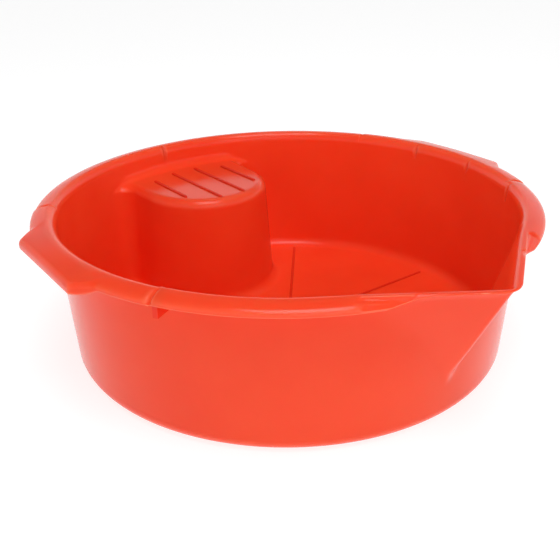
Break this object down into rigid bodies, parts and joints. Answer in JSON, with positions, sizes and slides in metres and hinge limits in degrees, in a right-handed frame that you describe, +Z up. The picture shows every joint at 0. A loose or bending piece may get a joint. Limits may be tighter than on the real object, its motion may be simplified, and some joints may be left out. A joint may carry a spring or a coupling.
{
  "type": "oil drain pan",
  "caption": "Round plastic oil drain pan with a rolled rim, V-shaped pour spout, grab handles and a raised ribbed ledge for draining an oil filter.",
  "frame": {"origin": "centre of the underside, on the ground, on the axis of the round bowl", "axes": "+X to the tip of the pour spout, +Y to the right handle, +Z up out of the bowl"},
  "size_m": [0.4261, 0.4127, 0.122],
  "materials": {
    "shell": "satin moulded polypropylene",
    "ribs": "satin moulded polypropylene"
  },
  "bodies": {
    "root": {"floor_panel": "shell", "floor_ribs": "ribs", "foot_corner": "shell", "side_wall_left": "shell", "side_wall_right": "shell", "front_wall": "shell", "ledge_back_wall": "shell", "rim_front_left": "shell", "rim_front_right": "shell", "rim_grip_left": "shell", "rim_grip_right": "shell", "rim_rear": "shell", "handle_left": "shell", "handle_right": "shell", "handle_webs": "ribs", "stacking_lugs": "ribs", "pour_spout": "shell", "spout_lip": "shell", "filter_ledge_wall": "shell", "filter_ledge_top": "shell", "ledge_drain_ribs": "ribs"}
  },
  "joints": []
}
